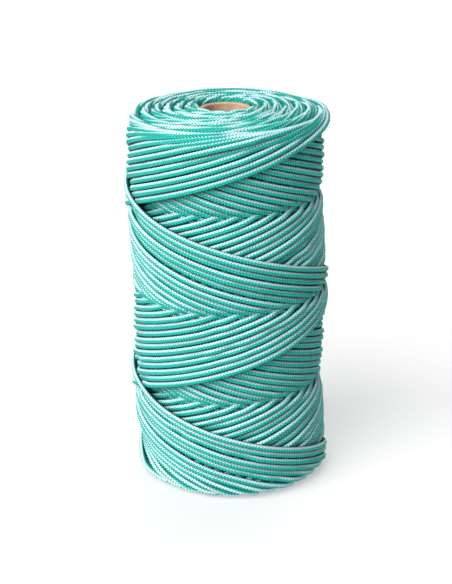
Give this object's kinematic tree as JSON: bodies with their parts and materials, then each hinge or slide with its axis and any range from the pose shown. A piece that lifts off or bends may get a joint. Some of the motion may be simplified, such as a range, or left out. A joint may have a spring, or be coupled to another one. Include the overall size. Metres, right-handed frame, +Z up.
{
  "type": "fishing line spool",
  "caption": "Braided two-colour fishing cord cross-wound on a plain cardboard tube, a flangeless package with an open bore.",
  "frame": {"origin": "centre of the lower end face, on the surface that the package stands on", "axes": "+Z up the bore, the package's longest dimension; X and Y are equivalent"},
  "size_m": [0.08, 0.08, 0.158],
  "materials": {
    "cardboard": "matt spiral-wound kraft board",
    "cord": "braided synthetic cord, teal with one pale stripe, slight sheen"
  },
  "bodies": {
    "root": {"core_tube": "cardboard", "cord_winding": "cord"}
  },
  "joints": []
}
